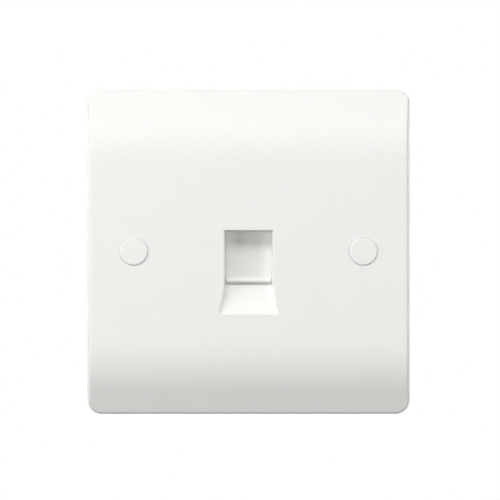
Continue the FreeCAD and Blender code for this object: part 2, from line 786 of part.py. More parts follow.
def contact_path(number, x):
    """Side view of one contact as joined edges: tail, roof run, hairpin and sprung arm."""
    fall = radians(CONTACT_FALL)
    front = JACK_FRONT + COMB_WALL + CONTACT_THICKNESS + CONTACT_BEND
    end = BOARD_BACK + TAIL_RISE
    bend_centre = V(x, front, CONTACT_Z - CONTACT_BEND)

    def on_bend(angle):
        return bend_centre + V(0, -sin(angle), cos(angle)) * CONTACT_BEND

    arm_start = on_bend(radians(180) - fall)
    arm_length = (CONTACT_TIP - arm_start.y) / cos(fall)
    arm_end = arm_start + V(0, cos(fall), -sin(fall)) * arm_length
    roof_front = on_bend(0)
    low = tail_z(number)
    edges = []
    if low < CONTACT_Z:
        back = BOARD_FRONT - CONTACT_THICKNESS
        knee = V(x, back, CONTACT_Z)
        foot = V(x, back, low)
        edges.append(Part.LineSegment(V(x, end, low), foot))
        edges.append(Part.LineSegment(foot, knee))
        edges.append(Part.LineSegment(knee, roof_front))
    else:
        edges.append(Part.LineSegment(V(x, end, low), roof_front))
    edges.append(Part.Arc(roof_front, on_bend((radians(180) - fall) / 2), arm_start))
    edges.append(Part.LineSegment(arm_start, arm_end))
    return Part.Wire([edge.toShape() for edge in edges])


def jack_contact(number):
    """A sprung strip of even thickness, square at its ends and folds."""
    path = contact_path(number, CONTACT_XS[number] - CONTACT_WIDTH / 2)
    half = CONTACT_THICKNESS / 2
    inner, outer = [path.makeOffset2D(way, MITRED, False, True) for way in (half, -half)]
    edges = inner.Edges + outer.Edges
    for end in (0, -1):
        start = inner.OrderedVertexes[end].Point
        edges.append(Part.makeLine(start, outer.OrderedVertexes[end].Point))
    outline = Part.Wire(Part.__sortEdges__(edges))
    return Part.Face(outline).extrude(V(CONTACT_WIDTH, 0, 0))


# Board and terminals

def pin_hole(x, z, pin_width, pin_height):
    wide = pin_width / 2 + SOLDER_GAP
    high = pin_height / 2 + SOLDER_GAP
    return block(x - wide, x + wide, BOARD_FRONT, BOARD_BACK, z - high, z + high)


def circuit_board():
    """The board. Solder fills each pin's hole to the pin, so the holes have the pins' section."""
    board = rounded_slab(
        BOARD_WIDTH / 2, -BOARD_HEIGHT / 2, BOARD_HEIGHT / 2, BOARD_CORNER, BOARD_FRONT, BOARD_BACK
    )
    peg = JACK_PEG + SEAT_CLEARANCE
    cuts = [rod(peg, x, JACK_PEG_Z, BOARD_FRONT, BOARD_BACK) for x in (-JACK_PEG_X, JACK_PEG_X)]
    for number, x in enumerate(CONTACT_XS):
        cuts.append(pin_hole(x, tail_z(number), CONTACT_WIDTH, CONTACT_THICKNESS))
    for x in (-IDC_X, IDC_X):
        cuts += [pin_hole(x, z, IDC_BLADE, IDC_PIN) for z in IDC_ZS]
    return board.cut(cuts)


def wire_slot(x, z):
    """A slot across the block for one wire, with a flared mouth."""
    half = IDC_WIRE_SLOT / 2
    wide = half + IDC_LEAD_IN
    floor = IDC_BACK - IDC_WIRE_DEPTH
    points = [
        (floor, z - half),
        (IDC_BACK - IDC_LEAD_IN, z - half),
        (IDC_BACK, z - wide),
        (IDC_BACK, z + wide),
        (IDC_BACK - IDC_LEAD_IN, z + half),
        (floor, z + half),
    ]
    return side_profile(points, x - IDC_WIDTH / 2, x + IDC_WIDTH / 2)


def blade_foot():
    return IDC_BACK - IDC_BLADE_BELOW - IDC_BLADE_LENGTH


def blade_pocket(x, z):
    """The slit that holds one blade, and the hole for its pin."""
    thick = IDC_BLADE / 2 + IDC_POCKET_GAP
    wide = IDC_BLADE_WIDTH / 2 + IDC_POCKET_GAP
    slit = block(x - thick, x + thick, blade_foot(), IDC_BACK, z - wide, z + wide)
    pin = IDC_PIN / 2 + IDC_POCKET_GAP
    hole = block(x - thick, x + thick, BOARD_BACK, blade_foot(), z - pin, z + pin)
    return [slit, hole]


def idc_block(side):
    """A moulded block of posts that guide the wires onto the blades."""
    x = side * IDC_X
    half = IDC_WIDTH / 2
    body = block(x - half, x + half, BOARD_BACK, IDC_BACK, -IDC_HALF_LENGTH, IDC_HALF_LENGTH)
    cuts = []
    for z in IDC_ZS:
        cuts += [wire_slot(x, z)] + blade_pocket(x, z)
    return body.cut(cuts)


def idc_terminal(x, z):
    """A forked blade that bites through the wire's sleeve, on a solder pin."""
    back = IDC_BACK - IDC_BLADE_BELOW
    foot = blade_foot()
    wide = IDC_BLADE_WIDTH / 2
    fork = IDC_FORK / 2
    mouth = IDC_FORK_MOUTH + fork
    pin = IDC_PIN / 2
    tip = BOARD_FRONT - IDC_PIN_RISE
    right = [
        (tip, pin),
        (foot, pin),
        (foot, wide),
        (back, wide),
        (back, mouth),
        (back - IDC_FORK_MOUTH, fork),
        (back - IDC_FORK_DEPTH, fork),
    ]
    left = [(y, -offset) for y, offset in reversed(right)]
    points = [(y, z + offset) for y, offset in right + left]
    return side_profile(points, x - IDC_BLADE / 2, x + IDC_BLADE / 2)


def all_nodes():
    nodes = {
        "faceplate": faceplate(),
        "screw_cap_left": screw_cap(FIXING_XS[0]),
        "screw_cap_right": screw_cap(FIXING_XS[1]),
        "fixing_screws": Part.makeCompound([fixing_screw(x) for x in FIXING_XS]),
        "shutter": shutter(),
        "shutter_spring": shutter_spring(),
        "jack_carrier": jack_carrier(),
        "carrier_screws": Part.makeCompound([carrier_screw(x, z) for x, z in CARRIER_SCREWS]),
        "jack_housing": jack_housing(),
        "contact_insert": contact_insert(),
        "circuit_board": circuit_board(),
        "idc_block_left": idc_block(-1),
        "idc_block_right": idc_block(1),
    }
    for number in range(CONTACTS):
        nodes["jack_contact_%d" % (number + 1)] = jack_contact(number)
    terminals = [(x, z) for x in (-IDC_X, IDC_X) for z in IDC_ZS]
    for number, (x, z) in enumerate(terminals):
        nodes["idc_terminal_%d" % (number + 1)] = idc_terminal(x, z)
    return nodes


os.makedirs("parts", exist_ok=True)
for name, shape in all_nodes().items():
    shape.exportStep("parts/%s.step" % name)
    state = "valid" if shape.isValid() else "INVALID"
    print(name, state, "solids", len(shape.Solids), round(shape.Volume, 2))
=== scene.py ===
import json
from math import cos, pi, radians, sin

import bmesh
import bpy
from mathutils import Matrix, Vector

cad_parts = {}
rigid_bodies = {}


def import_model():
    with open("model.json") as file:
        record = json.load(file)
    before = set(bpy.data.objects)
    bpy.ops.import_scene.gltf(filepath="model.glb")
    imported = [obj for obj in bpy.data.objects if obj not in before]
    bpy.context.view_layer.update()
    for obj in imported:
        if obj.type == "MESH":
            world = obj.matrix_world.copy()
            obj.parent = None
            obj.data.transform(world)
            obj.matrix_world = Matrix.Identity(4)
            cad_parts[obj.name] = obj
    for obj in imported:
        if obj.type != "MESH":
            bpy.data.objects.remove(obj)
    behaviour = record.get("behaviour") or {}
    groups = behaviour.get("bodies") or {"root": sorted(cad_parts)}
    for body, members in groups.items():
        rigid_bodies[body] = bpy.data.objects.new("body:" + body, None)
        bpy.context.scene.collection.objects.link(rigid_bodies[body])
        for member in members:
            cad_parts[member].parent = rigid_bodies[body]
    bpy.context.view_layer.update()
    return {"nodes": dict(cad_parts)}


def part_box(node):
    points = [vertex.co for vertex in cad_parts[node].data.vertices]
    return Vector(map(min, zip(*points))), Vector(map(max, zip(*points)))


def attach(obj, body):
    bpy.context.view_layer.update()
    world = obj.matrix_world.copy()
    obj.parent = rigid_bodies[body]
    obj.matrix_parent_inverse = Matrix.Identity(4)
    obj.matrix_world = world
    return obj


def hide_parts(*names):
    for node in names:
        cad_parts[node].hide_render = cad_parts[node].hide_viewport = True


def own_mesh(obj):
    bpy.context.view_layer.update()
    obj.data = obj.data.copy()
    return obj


# Looks of a white ethernet wall socket. Lengths are in metres, +Y into the wall, +Z up.
# The origin is the middle of the plate on the wall plane. Names in _mm hold millimetres.

MM = 0.001

# Camera, square on to the plate, which stands a little left of the picture's middle and below it
CAMERA_PLACE = Vector((0.37 * MM, -600 * MM, 0.37 * MM))
CAMERA_LENS = 161.8
CAMERA_SENSOR = 36.0

# Studio: lamps' angles above the horizon and to the viewer's right, in degrees, powers in watts
LAMP_DISTANCE = 0.9
KEY_ELEVATION = 44
KEY_SIDE = -12
KEY_WIDTH = 0.5
KEY_HEIGHT = 0.35
KEY_POWER = 4.6
FLANK_SIDE = 60
FLANK_WIDTH = 0.6
FLANK_HEIGHT = 0.18
LEFT_POWER = 4.8
RIGHT_POWER = 3.1
BACK_ELEVATION = 15
BACK_SIZE = 0.6
BACK_POWER = 5.0
AMBIENT = 0.14
WHITE = "#FFFFFF"

# Floor: FLOOR_GLOW is its share of plain white out to FLOOR_NEAR from its middle. The share goes
# up from there, and past FLOOR_FAR it is all white
FLOOR_TONE = "#F4F4F4"
FLOOR_DROP = 100 * MM
FLOOR_RADIUS = 4.0
FLOOR_NEAR = 160 * MM
FLOOR_FAR = 260 * MM
FLOOR_SIDES = 96
FLOOR_GLOW = 0.5

# Plastics: flow marks' width, how far the grain changes the roughness, how deep red, green and
# blue light go into white resin, and the samples that round an edge
FLOW_MARK_MM = 9
PLASTIC_GLOSS_SPREAD = 0.1
GLOW_DEPTHS = (1.0, 0.8, 0.5)
EDGE_SAMPLES = 6

# Board's glass cloth and etched copper
WEAVE_PITCH_MM = 0.5
WEAVE_DEPTH = 0.004 * MM
ETCH_GRAIN_MM = 0.3
ETCH_DEPTH = 0.003 * MM

# Metals
METAL_GLOSS_SPREAD = 0.2

# The wave texture's phase goes up by this many radians over one unit at scale 1
WAVE_RATE = 20

# Fixing screws, as M3.5 machine screws. The ridge's height follows a triangle wave: it is made
# THREAD_STEEPNESS times as steep and lowered by THREAD_ROOT, so that crest and root come out flat
THREAD_PITCH = 0.6 * MM
THREAD_DEPTH = 0.34 * MM
THREAD_STEPS = 8
THREAD_SIDES = 32
THREAD_RUN_OUT = 0.6 * MM
THREAD_STEEPNESS = 1.25
THREAD_ROOT = 0.1
SHANK_RADIUS = 1.75 * MM
NECK_RADIUS = 1.55 * MM
NECK_LENGTH = 2.3 * MM
HEAD_RADIUS = 3.0 * MM
HEAD_HEIGHT = 1.4 * MM
HEAD_CHAMFER = 0.2 * MM
SLOT_WIDTH = 1.0 * MM
SLOT_DEPTH = 1.1 * MM
FIXING_X = 30.15 * MM
SLOT_PAST = 1.0 * MM

# Return spring, with a close-wound part of a turn at each end
WIRE = 0.25 * MM
SPRING_TURNS = 7
SPRING_DEAD_TURN = 0.75
SPRING_STEPS = 48
WIRE_SIDES = 10

# Board details: every second contact's tail is a row lower, and two tails a side are in the
# upper row
WAYS = 8
CONTACT_THICKNESS = 0.3 * MM
CONTACT_TAIL_DROP = 2.54 * MM
UPPER_TAILS = 2
TRACK_WIDTH = 0.4 * MM
TRACK_HEIGHT = 0.04 * MM
TRACK_LEAD = 0.65 * MM
SHARPEST_MITRE = 0.5
PAD_RADIUS = 0.75 * MM
PAD_THICKNESS = 0.04 * MM
SOLDER_TIP = 0.26 * MM
SOLDER_HEIGHT = 0.7 * MM
SOLDER_STEPS = 6
SOLDER_SIDES = 24

# Edges that turn by more than this many degrees stay sharp
SHARP = 35


def linear(code):
    """An sRGB hex code as a linear colour."""
    levels = [int(code[place:place + 2], 16) / 255 for place in (1, 3, 5)]
    return [c / 12.92 if c <= 0.04045 else ((c + 0.055) / 1.055) ** 2.4 for c in levels] + [1.0]


def per_metre(size_mm):
    """The texture scale at which one feature is size_mm across."""
    return 1 / (size_mm * MM)


def bands_per_metre(pitch_mm):
    """The wave texture's scale at which its bands are pitch_mm apart."""
    return per_metre(pitch_mm) * 2 * pi / WAVE_RATE


def add(tree, kind, inputs=None, **settings):
    """Adds a node with its settings, and its inputs as values or links."""
    made = tree.nodes.new(kind)
    for name, value in settings.items():
        setattr(made, name, value)
    for socket, value in (inputs or {}).items():
        if isinstance(value, bpy.types.NodeSocket):
            tree.links.new(value, made.inputs[socket])
        else:
            made.inputs[socket].default_value = value
    return made


def new_material(name):
    """An empty material, and its node tree."""
    material = bpy.data.materials.new(name)
    material.use_nodes = True
    material.node_tree.nodes.clear()
    return material, material.node_tree


def finish_material(tree, shader):
    """Makes the shader the material's surface."""
    add(tree, "ShaderNodeOutputMaterial", {"Surface": shader.outputs[0]})


# Finishes

def moulded(name, tone, shade, roughness, mirror, grain_mm, depth_mm, edge_mm, glow, glow_mm):
    """A moulded plastic: faint flow marks in its colour, and the tool's grain as bump.

    mirror is the strength of its reflection, where 0.5 is what its IOR gives. Edges look rounded
    by edge_mm. glow is the share of light that goes into the resin, and glow_mm how deep it goes.
    A real tool's grain is under 0.1 mm wide, too fine to show, so grain_mm is drawn coarser.
    """
    material, tree = new_material(name)
    place = add(tree, "ShaderNodeTexCoord").outputs["Object"]
    flow = add(
        tree,
        "ShaderNodeTexNoise",
        {"Vector": place, "Scale": per_metre(FLOW_MARK_MM), "Detail": 2},
    )
    colour = add(
        tree,
        "ShaderNodeMix",
        {"Factor": flow.outputs["Fac"], "A": linear(shade), "B": linear(tone)},
        data_type="RGBA",
    )
    grain = add(
        tree,
        "ShaderNodeTexNoise",
        {"Vector": place, "Scale": per_metre(grain_mm), "Detail": 3},
    )
    gloss = add(
        tree,
        "ShaderNodeMapRange",
        {
            "Value": grain.outputs["Fac"],
            "To Min": roughness * (1 - PLASTIC_GLOSS_SPREAD),
            "To Max": roughness * (1 + PLASTIC_GLOSS_SPREAD),
        },
    )
    edge = add(tree, "ShaderNodeBevel", {"Radius": edge_mm * MM}, samples=EDGE_SAMPLES)
    bump = add(
        tree,
        "ShaderNodeBump",
        {
            "Height": grain.outputs["Fac"],
            "Distance": depth_mm * MM,
            "Normal": edge.outputs["Normal"],
        },
    )
    shader = add(
        tree,
        "ShaderNodeBsdfPrincipled",
        {
            "Base Color": colour.outputs["Result"],
            "Roughness": gloss.outputs["Result"],
            "Normal": bump.outputs["Normal"],
            "IOR": 1.5,
            "Specular IOR Level": mirror,
            "Subsurface Weight": glow,
            "Subsurface Radius": GLOW_DEPTHS,
            "Subsurface Scale": glow_mm * MM,
        },
    )
    finish_material(tree, shader)
    return material


def white_urea():
    """Urea resin from a polished tool: a clean white with a soft broad gloss, warm in its shade."""
    return moulded(
        "moulded_urea_white",
        tone="#F0F0ED",
        shade="#EEEEEB",
        roughness=0.48,
        mirror=0.25,
        grain_mm=0.5,
        depth_mm=0.002,
        edge_mm=0.05,
        glow=0.2,
        glow_mm=1.0,
    )


def carrier_polycarbonate():
    """Polycarbonate from an etched tool: a flatter, greyer white than the plate."""
    return moulded(
        "moulded_polycarbonate_grey_white",
        tone="#E2E2DE",
        shade="#DCDCD7",
        roughness=0.5,
        mirror=0.5,
        grain_mm=0.35,
        depth_mm=0.006,
        edge_mm=0.1,
        glow=0.1,
        glow_mm=0.6,
    )


def terminal_polycarbonate():
    """The punch-down blocks' resin: a creamy white, so that they stand out from the carrier."""
    return moulded(
        "moulded_polycarbonate_cream",
        tone="#E9E6DB",
        shade="#E3E0D4",
        roughness=0.45,
        mirror=0.5,
        grain_mm=0.35,
        depth_mm=0.004,
        edge_mm=0.1,
        glow=0.1,
        glow_mm=0.6,
    )


def jack_polyester():
    """Glass-filled black polyester: a dull black whose fibres leave a fine grain."""
    return moulded(
        "moulded_polyester_black",
        tone="#262627",
        shade="#202021",
        roughness=0.48,
        mirror=0.5,
        grain_mm=0.25,
        depth_mm=0.008,
        edge_mm=0.08,
        glow=0,
        glow_mm=0.1,
    )


def board_laminate():
    """Glass cloth under green solder resist: the weave shows as a faint grid in the gloss."""
    material, tree = new_material("glass_epoxy_green_resist")
    place = add(tree, "ShaderNodeTexCoord").outputs["Object"]
    pitch = bands_per_metre(WEAVE_PITCH_MM)
    across = add(tree, "ShaderNodeTexWave", {"Vector": place, "Scale": pitch}, bands_direction="X")
    upright = add(tree, "ShaderNodeTexWave", {"Vector": place, "Scale": pitch}, bands_direction="Z")
    weave = add(
        tree,
        "ShaderNodeMath",
        {0: across.outputs["Fac"], 1: upright.outputs["Fac"]},
        operation="MULTIPLY",
    )
    colour = add(
        tree,
        "ShaderNodeMix",
        {"Factor": weave.outputs[0], "A": linear("#1C6A3E"), "B": linear("#237748")},
        data_type="RGBA",
    )
    bump = add(tree, "ShaderNodeBump", {"Height": weave.outputs[0], "Distance": WEAVE_DEPTH})
    shader = add(
        tree,
        "ShaderNodeBsdfPrincipled",
        {
            "Base Color": colour.outputs["Result"],
            "Roughness": 0.3,
            "IOR": 1.52,
            "Normal": bump.outputs["Normal"],
        },
    )
    finish_material(tree, shader)
    return material


def covered_copper():
    """Copper tracks under the resist: a lighter, yellower green than the bare laminate."""
    material, tree = new_material("copper_under_green_resist")
    place = add(tree, "ShaderNodeTexCoord").outputs["Object"]
    etch = add(
        tree,
        "ShaderNodeTexNoise",
        {"Vector": place, "Scale": per_metre(ETCH_GRAIN_MM), "Detail": 2},
    )
    colour = add(
        tree,
        "ShaderNodeMix",
        {"Factor": etch.outputs["Fac"], "A": linear("#37935A"), "B": linear("#429E63")},
        data_type="RGBA",
    )
    bump = add(tree, "ShaderNodeBump", {"Height": etch.outputs["Fac"], "Distance": ETCH_DEPTH})
    shader = add(
        tree,
        "ShaderNodeBsdfPrincipled",
        {
            "Base Color": colour.outputs["Result"],
            "Roughness": 0.28,
            "Normal": bump.outputs["Normal"],
        },
    )
    finish_material(tree, shader)
    return material


def marked_metal(name, tone, shade, roughness, mark_mm, depth_mm, scales):
    """A metal with faint marks, which are longest along the axes whose scale is least.

    Rolled and drawn marks are some hundredths of a millimetre wide, too fine to show, so mark_mm
    is drawn coarser.
    """
    material, tree = new_material(name)
    place = add(tree, "ShaderNodeTexCoord").outputs["Object"]
    along = add(tree, "ShaderNodeMapping", {"Vector": place, "Scale": scales})
    marks = add(
        tree,
        "ShaderNodeTexNoise",
        {"Vector": along.outputs["Vector"], "Scale": per_metre(mark_mm), "Detail": 4},
    )
    colour = add(
        tree,
        "ShaderNodeMix",
        {"Factor": marks.outputs["Fac"], "A": linear(shade), "B": linear(tone)},
        data_type="RGBA",
    )
    gloss = add(
        tree,
        "ShaderNodeMapRange",
        {
            "Value": marks.outputs["Fac"],
            "To Min": roughness * (1 - METAL_GLOSS_SPREAD),
            "To Max": roughness * (1 + METAL_GLOSS_SPREAD),
        },
    )
    bump = add(tree, "ShaderNodeBump", {"Height": marks.outputs["Fac"], "Distance": depth_mm * MM})
    shader = add(
        tree,
        "ShaderNodeBsdfPrincipled",
        {
            "Base Color": colour.outputs["Result"],
            "Metallic": 1.0,
            "Roughness": gloss.outputs["Result"],
            "Normal": bump.outputs["Normal"],
        },
    )
    finish_material(tree, shader)
    return material


def gold_plate():
    """Bronze strip plated with gold: a pale yellow mirror with the rolling marks under it."""
    return marked_metal(
        "gold_plated_bronze",
        tone="#F0D28A",
        shade="#E3C077",
        roughness=0.22,
        mark_mm=0.12,
        depth_mm=0.001,
        scales=(1, 0.15, 0.15),
    )


def tin_plate():
    """Stamped bronze plated with tin: a soft grey-white sheen."""
    return marked_metal(
        "tin_plated_bronze",
        tone="#D6D5D1",
        shade="#C3C2BD",
        roughness=0.34,
        mark_mm=0.15,
        depth_mm=0.002,
        scales=(1, 0.2, 1),
    )


def zinc_plate():
    """Steel screws, barrel plated with zinc: a slightly blue grey with small dull spots."""
    return marked_metal(
        "zinc_plated_steel",
        tone="#CDD0D3",
        shade="#B2B6BA",
        roughness=0.32,
        mark_mm=0.4,
        depth_mm=0.003,
        scales=(1, 1, 1),
    )


def spring_wire():
    """Spring steel drawn through a die: fine lines along the wire's bright surface."""
    return marked_metal(
        "drawn_spring_steel",
        tone="#C6C6C4",
        shade="#A9A9A7",
        roughness=0.27,
        mark_mm=0.08,
        depth_mm=0.001,
        scales=(1, 1, 4),
    )


def solder():
    """Tin solder that set with a bright, faintly rippled skin."""
    return marked_metal(
        "tin_solder",
        tone="#DADAD6",
        shade="#C8C8C4",
        roughness=0.24,
        mark_mm=0.25,
        depth_mm=0.006,
        scales=(1, 1, 1),
    )


# Meshes

def new_piece(name, verts, faces, finish, flat=False):
    """A mesh in the scene, with its material."""
    mesh = bpy.data.meshes.new(name)
    mesh.from_pydata(verts, [], faces)
    mesh.validate()
    mesh.update()
    mesh.polygons.foreach_set("use_smooth", [not flat] * len(mesh.polygons))
    piece = bpy.data.objects.new(name, mesh)
    bpy.context.scene.collection.objects.link(piece)
    piece.data.materials.append(finish)
    return piece


def grid_faces(rings, sides):
    """Quads between rings of vertices that follow one another."""
    faces = []
    for ring in range(rings - 1):
        low = ring * sides
        high = low + sides
        for side in range(sides):
            following = (side + 1) % sides
            faces.append((low + side, low + following, high + following, high + side))
    return faces


def closed_tube(rings):
    """Vertices and faces of a tube through the rings, with both ends closed."""
    sides = len(rings[0])
    verts = [point for ring in rings for point in ring]
    faces = grid_faces(len(rings), sides)
    faces.append(tuple(reversed(range(sides))))
    faces.append(tuple(range(len(verts) - sides, len(verts))))
    return verts, faces


def turned_ring(radius, centre_x, centre_z, y, sides):
    """A ring round an axis along Y."""
    turns = [2 * pi * side / sides for side in range(sides)]
    return [(centre_x + radius * cos(a), y, centre_z + radius * sin(a)) for a in turns]


def merged(parts):
    """Several (verts, faces) as one."""
    verts = []
    faces = []
    for part_verts, part_faces in parts:
        start = len(verts)
        verts += part_verts
        faces += [tuple(start + corner for corner in face) for face in part_faces]
    return verts, faces


# Fixing screws

def threaded_shank(x, seat, tip):
    """A plain neck under the head, then a rolled thread down to a short lead-in."""
    first = seat + NECK_LENGTH
    root = SHANK_RADIUS - THREAD_DEPTH
    step = THREAD_PITCH / THREAD_STEPS
    rings = [turned_ring(NECK_RADIUS, x, 0, y, THREAD_SIDES) for y in (seat, first - step)]
    for row in range(int((tip - first) / step) + 1):
        y = first + row * step
        fade = min(1, (y - first) / THREAD_RUN_OUT, (tip - y) / THREAD_RUN_OUT)
        ring = []
        for side in range(THREAD_SIDES):
            phase = ((y - first) / THREAD_PITCH - side / THREAD_SIDES) % 1
            ridge = THREAD_STEEPNESS * (1 - abs(2 * phase - 1)) - THREAD_ROOT
            ridge = max(0, min(1, ridge))
            radius = root + THREAD_DEPTH * ridge * max(0, fade)
            turn = 2 * pi * side / THREAD_SIDES
            ring.append((x + radius * cos(turn), y, radius * sin(turn)))
        rings.append(ring)
    return closed_tube(rings)


def slotted_head(x, seat):
    """A cheese head with a chamfer, before its slot is cut."""
    top = seat - HEAD_HEIGHT
    sides = 2 * THREAD_SIDES
    rings = [
        turned_ring(HEAD_RADIUS - HEAD_CHAMFER, x, 0, top, sides),
        turned_ring(HEAD_RADIUS, x, 0, top + HEAD_CHAMFER, sides),
        turned_ring(HEAD_RADIUS, x, 0, seat, sides),
    ]
    return closed_tube(rings)


def slot_block(x, seat):
    """What the slot takes out of a head: it stands past the head on the open sides."""
    top = seat - HEAD_HEIGHT - SLOT_PAST
    floor = seat - HEAD_HEIGHT + SLOT_DEPTH
    half = SLOT_WIDTH / 2
    reach = HEAD_RADIUS + SLOT_PAST
    rings = []
    for y in (top, floor):
        corners = [(-half, -reach), (half, -reach), (half, reach), (-half, reach)]
        rings.append([(x + cx, y, cz) for cx, cz in corners])
    return closed_tube(rings)


def cut_away(piece, tool):
    """Cuts the tool out of the piece and removes the tool."""
    modifier = piece.modifiers.new("slot", "BOOLEAN")
    modifier.operation = "DIFFERENCE"
    modifier.solver = "EXACT"
    modifier.object = tool
    graph = bpy.context.evaluated_depsgraph_get()
    mesh = bpy.data.meshes.new_from_object(piece.evaluated_get(graph))
    piece.modifiers.clear()
    piece.data = mesh
    bpy.data.objects.remove(tool)


def fixing_screws(finish):
    """Both fixing screws in place of the plain ones, with slots and threads."""
    low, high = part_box("fixing_screws")
    seat = low.y + HEAD_HEIGHT
    places = (-FIXING_X, FIXING_X)
    heads = new_piece(
        "fixing_screws_threaded", *merged([slotted_head(x, seat) for x in places]), finish
    )
    slots = new_piece("slots", *merged([slot_block(x, seat) for x in places]), finish)
    cut_away(heads, slots)
    shanks = merged([threaded_shank(x, seat, high.y) for x in places])
    join_pieces(heads, new_piece("shanks", *shanks, finish))
    soften(heads)
    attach(heads, "root")
    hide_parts("fixing_screws")


def join_pieces(kept, other):
    """Makes the other piece part of the kept one."""
    both = [kept, other]
    with bpy.context.temp_override(active_object=kept, selected_editable_objects=both):
        bpy.ops.object.join()


def soften(piece):
    """Smooth shading that keeps the sharp edges."""
    piece.data.shade_smooth()
    piece.data.set_sharp_from_angle(angle=radians(SHARP))


# Return spring

def spring_rise(turns, height):
    """How far up the wire is after so many turns: both ends are wound close."""
    live_turns = SPRING_TURNS - 2 * SPRING_DEAD_TURN
    live_height = height - 2 * SPRING_DEAD_TURN * WIRE
    first = min(turns, SPRING_DEAD_TURN) * WIRE
    last = max(0, turns - SPRING_DEAD_TURN - live_turns) * WIRE
    live = max(0, min(1, (turns - SPRING_DEAD_TURN) / live_turns))
    return first + live * live_height + last


def return_spring(finish):
    """The spring's round wire in place of the plain one, wound to the plain one's length. In the
    real socket the shutter squashes it as it rises; here it keeps that length.
    """
    low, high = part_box("shutter_spring")
    axis_x = (low.x + high.x) / 2
    axis_y = (low.y + high.y) / 2
    radius = (high.y - low.y) / 2 - WIRE / 2
    up = Vector((0, 0, 1))
    rings = []
    for step in range(SPRING_TURNS * SPRING_STEPS + 1):
        turns = step / SPRING_STEPS
        z = low.z + WIRE / 2 + spring_rise(turns, high.z - low.z - WIRE)
        angle = 2 * pi * turns
        outward = Vector((cos(angle), sin(angle), 0))
        centre = Vector((axis_x, axis_y, z)) + outward * radius
        ring = []
        for side in range(WIRE_SIDES):
            turn = 2 * pi * side / WIRE_SIDES
            point = centre + (outward * cos(turn) + up * sin(turn)) * (WIRE / 2)
            ring.append(tuple(point))
        rings.append(ring)
    spring = new_piece("return_spring_wound", *closed_tube(rings), finish)
    soften(spring)
    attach(spring, "root")
    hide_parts("shutter_spring")
    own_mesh(spring)


# Board details

def contact_tails():
    """Where each contact comes through the board, as (x, z)."""
    tails = []
    for number in range(WAYS):
        low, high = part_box("jack_contact_%d" % (number + 1))
        drop = CONTACT_TAIL_DROP if number % 2 else 0
        strip = high.z - CONTACT_THICKNESS / 2
        tails.append(((low.x + high.x) / 2, strip - drop))
    return tails


def terminal_pins():
    """Where each terminal comes through the board, as (x, z)."""
    pins = []
    for number in range(WAYS):
        low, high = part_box("idc_terminal_%d" % (number + 1))
        pins.append(((low.x + high.x) / 2, (low.z + high.z) / 2))
    return pins


def solder_joint(x, z, board_y, way):
    """A concave cone of solder on a round pad, rising from the board along way."""
    rings = [turned_ring(PAD_RADIUS, x, z, board_y, SOLDER_SIDES)]
    for step in range(SOLDER_STEPS + 1):
        turn = pi / 2 * step / SOLDER_STEPS
        radius = PAD_RADIUS - (PAD_RADIUS - SOLDER_TIP) * sin(turn)
        rise = PAD_THICKNESS + SOLDER_HEIGHT * (1 - cos(turn))
        rings.append(turned_ring(radius, x, z, board_y + way * rise, SOLDER_SIDES))
    return closed_tube(rings)


def solder_joints(finish):
    """The contacts' joints on the board's back, and the terminals' on its front."""
    low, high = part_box("circuit_board")
    joints = [solder_joint(x, z, high.y, 1) for x, z in contact_tails()]
    joints += [solder_joint(x, z, low.y, -1) for x, z in terminal_pins()]
    piece = new_piece("solder_joints", *merged(joints), finish)
    face_outwards(piece)
    soften(piece)
    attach(piece, "root")


def face_outwards(piece):
    """Turns every face to look out of its own closed surface."""
    shape = bmesh.new()
    shape.from_mesh(piece.data)
    bmesh.ops.recalc_face_normals(shape, faces=shape.faces)
    shape.to_mesh(piece.data)
    shape.free()


def track(points, board_y):
    """A flat strip along the points, mitred at its bends, a little proud of the board's back."""
    half = TRACK_WIDTH / 2
    sides = []
    for number, point in enumerate(points):
        before = point - points[number - 1] if number else points[1] - point
        after = points[number + 1] - point if number + 1 < len(points) else before
        before = before.normalized()
        after = after.normalized()
        across = Vector((-(before.y + after.y), before.x + after.x)).normalized()
        reach = half / max(SHARPEST_MITRE, across.dot(Vector((-after.y, after.x))))
        sides.append((point - across * reach, point + across * reach))
    rings = []
    top = board_y + TRACK_HEIGHT
    for left, right in sides:
        rings.append(
            [
                (left.x, board_y, left.y),
                (left.x, top, left.y),
                (right.x, top, right.y),
                (right.x, board_y, right.y),
            ]
        )
    return closed_tube(rings)


def track_route(tail, pin):
    """Up or down a little from the tail, over at 45 degrees, then level to the pin."""
    way = 1 if pin.y > tail.y else -1
    side = 1 if pin.x > tail.x else -1
    bend = tail + Vector((0, way * TRACK_LEAD))
    rise = abs(pin.y - bend.y)
    level = Vector((bend.x + side * rise, pin.y))
    return [tail, bend, level, pin]


def board_tracks(finish):
    """One track from each contact to its terminal, with none crossing."""
    tails = [Vector(place) for place in contact_tails()]
    pins = [Vector(place) for place in terminal_pins()]
    board_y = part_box("circuit_board")[1].y
    runs = []
    for side in (-1, 1):
        # The pins go from the top down, the upper tails outwards and the lower ones inwards
        near = sorted([t for t in tails if t.x * side > 0], key=lambda t: -t.y)
        far = sorted([p for p in pins if p.x * side > 0], key=lambda p: -p.y)
        upper = sorted(near[:UPPER_TAILS], key=lambda t: abs(t.x))
        lower = sorted(near[UPPER_TAILS:], key=lambda t: -abs(t.x))
        for tail, pin in zip(upper + lower, far):
            runs.append(track(track_route(tail, pin), board_y))
    piece = new_piece("board_tracks", *merged(runs), finish)
    face_outwards(piece)
    soften(piece)
    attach(piece, "root")


# Studio

def aim(thing, target):
    """Turns a camera or a lamp to look at a point."""
    thing.rotation_mode = "QUATERNION"
    thing.rotation_quaternion = (target - thing.location).to_track_quat("-Z", "Y")


